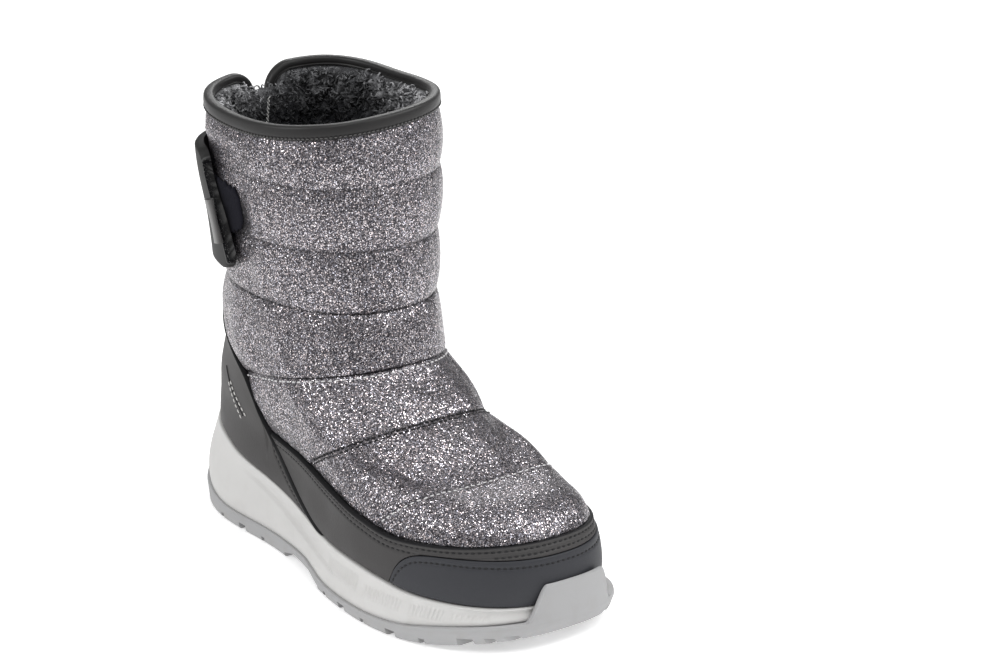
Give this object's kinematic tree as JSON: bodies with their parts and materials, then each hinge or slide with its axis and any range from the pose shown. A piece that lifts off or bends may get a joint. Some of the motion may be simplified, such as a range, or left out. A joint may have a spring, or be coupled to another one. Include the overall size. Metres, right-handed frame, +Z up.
{
  "type": "winter boot",
  "caption": "Child's quilted pull-on winter boot for the right foot, with a cupped lugged sole, a collar notched at the back and a hook-and-loop strap.",
  "frame": {"origin": "on the floor, under the middle of the boot's box", "axes": "+X to the toe, +Y to the inner side of the right foot, +Z up"},
  "size_m": [0.202, 0.0865, 0.1728],
  "materials": {
    "outsole_rubber": "matte light grey",
    "midsole_foam": "matte off-white foam",
    "pile_lining": "deep grey curled pile",
    "quilted_fabric": "silver charcoal glitter fabric, quilted",
    "overlay_leather": "smooth dark warm grey",
    "toe_overlay": "smooth dark blue grey",
    "binding_tape": "charcoal satin",
    "strap_tape": "black hook tape",
    "pull_tape": "dark grey webbing"
  },
  "bodies": {
    "root": {"outsole": "outsole_rubber", "midsole": "midsole_foam", "insole": "pile_lining", "upper": "quilted_fabric", "mudguard": "overlay_leather", "heel_counter": "overlay_leather", "toe_cap": "toe_overlay", "collar_binding": "binding_tape", "gusset": "pile_lining", "strap": "strap_tape", "strap_patch": "pile_lining", "strap_pull": "pull_tape"}
  },
  "joints": []
}
